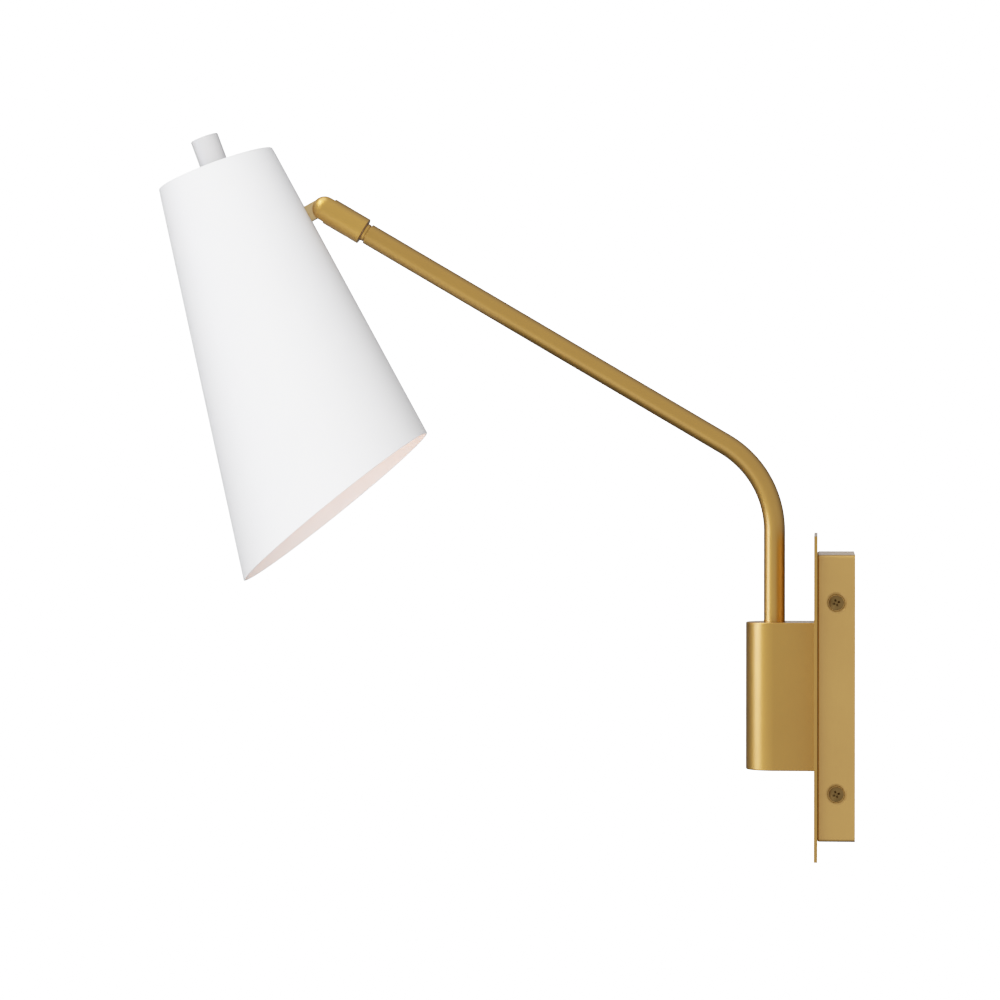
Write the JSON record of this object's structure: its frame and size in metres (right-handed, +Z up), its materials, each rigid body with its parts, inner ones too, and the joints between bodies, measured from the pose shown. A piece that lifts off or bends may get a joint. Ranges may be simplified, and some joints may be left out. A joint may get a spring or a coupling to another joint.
{
  "type": "swing arm wall sconce",
  "caption": "Wall lamp with a bent tube arm that swings on a round-fronted block, and a tilting cone shade with a slanted mouth.",
  "frame": {"origin": "on the wall, midway between the bracket's two junction box slots", "axes": "+Z up, +Y into the wall, so the lamp reaches out along -Y; +X to the side that shows the lamp's profile"},
  "size_m": [0.1344, 0.4177, 0.4315],
  "materials": {
    "brass": "brushed and lacquered",
    "shade_white": "white powder coat",
    "knob_white": "white powder coat",
    "plated_steel": "zinc plated",
    "brass_screw": "antique brass",
    "bearing_plastic": "natural nylon",
    "fibre": "fibre",
    "rubber": "matt",
    "cable_sheath": "smooth sheath",
    "lead_sleeve": "smooth insulation",
    "wire_nut": "moulded",
    "ground_green": "green plated",
    "phenolic": "phenolic",
    "ceramic": "glazed ceramic",
    "contact_brass": "bright",
    "lamp_cap": "bright",
    "lamp_white": "moulded",
    "lamp_globe": "frosted, lit from inside"
  },
  "bodies": {
    "wall_mount": {"wall_bracket": "plated_steel", "back_box": "brass", "wall_plate": "brass", "side_screws": "brass_screw", "pivot_block": "brass", "block_screws": "plated_steel", "upper_bushing": "bearing_plastic", "lower_bushing": "bearing_plastic", "stop_pin": "plated_steel", "plate_grommet": "rubber", "wall_cable": "cable_sheath", "lead_wires": "lead_sleeve", "wire_nuts": "wire_nut", "ground_screw": "ground_green"},
    "arm": {"arm_tube": "brass", "arm_spindle": "plated_steel", "spring_washer": "plated_steel", "stop_washer": "plated_steel", "spindle_nut": "plated_steel", "arm_end_fitting": "brass", "arm_cable": "cable_sheath"},
    "knuckle": {"swivel_washer": "fibre", "knuckle": "brass", "swivel_screw": "plated_steel", "tilt_screw": "brass_screw", "tilt_washers": "fibre", "knuckle_leads": "lead_sleeve"},
    "head": {"tongue": "brass", "stem_washer": "plated_steel", "stem_nut": "plated_steel", "shade": "shade_white", "switch_body": "phenolic", "switch_nut": "plated_steel", "socket_bracket": "plated_steel", "socket_screws": "plated_steel", "socket_cap": "phenolic", "socket_body": "phenolic", "socket_insulator": "ceramic", "screw_shell": "contact_brass", "centre_contact": "contact_brass", "bulb_base": "lamp_cap", "bulb_housing": "lamp_white", "bulb_globe": "lamp_globe", "head_leads": "lead_sleeve"},
    "knob": {"switch_shaft": "plated_steel", "knob": "knob_white"}
  },
  "joints": [
    {"name": "arm_swing", "type": "hinge", "parent": "wall_mount", "child": "arm", "pos_m": [0, -0.0476, 0], "axis": [0, 0, 1], "range_deg": [-80, 80]},
    {"name": "head_twist", "type": "hinge", "parent": "arm", "child": "knuckle", "pos_m": [0, -0.29394, 0.2766], "axis": [0, -0.8616, 0.5075], "range_deg": [-90, 90]},
    {"name": "head_tilt", "type": "hinge", "parent": "knuckle", "child": "head", "pos_m": [0, -0.31944, 0.29163], "axis": [1, 0, 0], "range_deg": [-90, 30]},
    {"name": "knob_turn", "type": "hinge", "parent": "head", "child": "knob", "pos_m": [0, -0.38371, 0.31479], "axis": [0, -0.3502, 0.9367], "range_deg": [-270, 0]}
  ]
}
